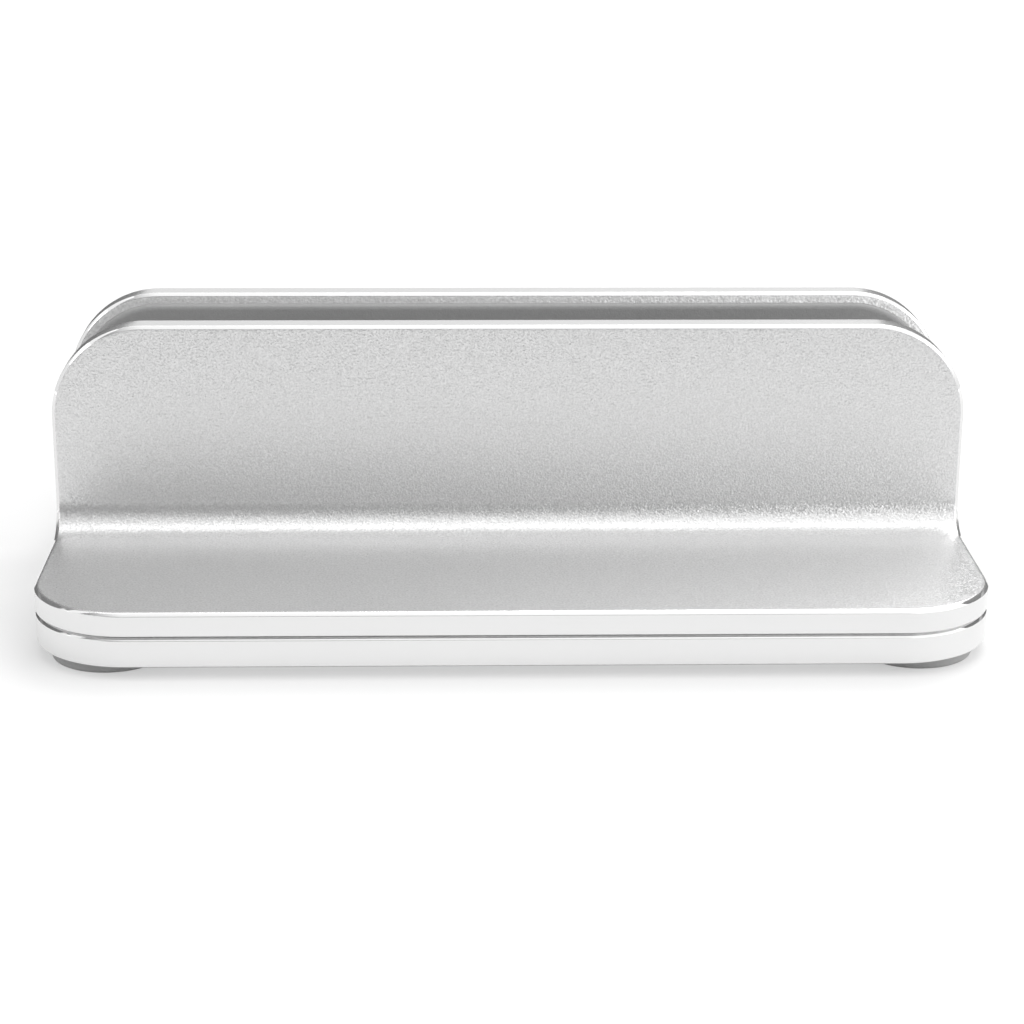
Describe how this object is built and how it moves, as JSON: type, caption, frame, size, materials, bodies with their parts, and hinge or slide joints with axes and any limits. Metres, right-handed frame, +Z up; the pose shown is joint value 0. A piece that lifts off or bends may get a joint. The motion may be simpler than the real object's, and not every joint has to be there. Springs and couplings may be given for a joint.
{
  "type": "vertical laptop stand",
  "caption": "Aluminium stand that holds a closed laptop on edge between padded L brackets on a base plate; the rear bracket slides to set the gap and is clamped from below.",
  "frame": {"origin": "under the middle of the base plate, on the surface that the feet stand on", "axes": "+X along the stand's width, +Y from the fixed front bracket to the sliding rear bracket, +Z up"},
  "size_m": [0.17, 0.141, 0.0515],
  "materials": {
    "anodised_aluminium": "bead-blasted, silver anodised",
    "grey_silicone": "smooth matt silicone",
    "foot_rubber": "matt moulded rubber",
    "screw_steel": "plain stainless"
  },
  "bodies": {
    "stand": {"base_plate": "anodised_aluminium", "fixed_bracket": "anodised_aluminium", "fixed_bracket_pad": "grey_silicone", "slot_floor_pad": "grey_silicone", "foot_front_left": "foot_rubber", "foot_front_right": "foot_rubber", "foot_rear_left": "foot_rubber", "foot_rear_right": "foot_rubber", "fixing_screw_left": "screw_steel", "fixing_screw_right": "screw_steel"},
    "slider": {"sliding_bracket": "anodised_aluminium", "sliding_bracket_pad": "grey_silicone"},
    "left_washer": {"clamp_washer_left": "screw_steel"},
    "left_screw": {"clamp_screw_left": "screw_steel"},
    "right_washer": {"clamp_washer_right": "screw_steel"},
    "right_screw": {"clamp_screw_right": "screw_steel"}
  },
  "joints": [
    {"name": "bracket_slide", "type": "slide", "parent": "stand", "child": "slider", "axis": [0, 1, 0], "range_m": [0, 0.02]},
    {"name": "left_washer_drop", "type": "slide", "parent": "slider", "child": "left_washer", "axis": [0, 0, -1], "range_m": [0, 0.0007]},
    {"name": "left_screw_turn", "type": "hinge", "parent": "left_washer", "child": "left_screw", "pos_m": [-0.05, 0.0045, 0.0046], "axis": [0, 0, -1], "range_deg": [0, 360]},
    {"name": "right_washer_drop", "type": "slide", "parent": "slider", "child": "right_washer", "axis": [0, 0, -1], "range_m": [0, 0.0007]},
    {"name": "right_screw_turn", "type": "hinge", "parent": "right_washer", "child": "right_screw", "pos_m": [0.05, 0.0045, 0.0046], "axis": [0, 0, -1], "range_deg": [0, 360]}
  ],
  "couplings": [
    {"joint": "left_screw_turn", "follows": "left_washer_drop", "rad_per_m": 8976},
    {"joint": "right_screw_turn", "follows": "right_washer_drop", "rad_per_m": 8976}
  ]
}
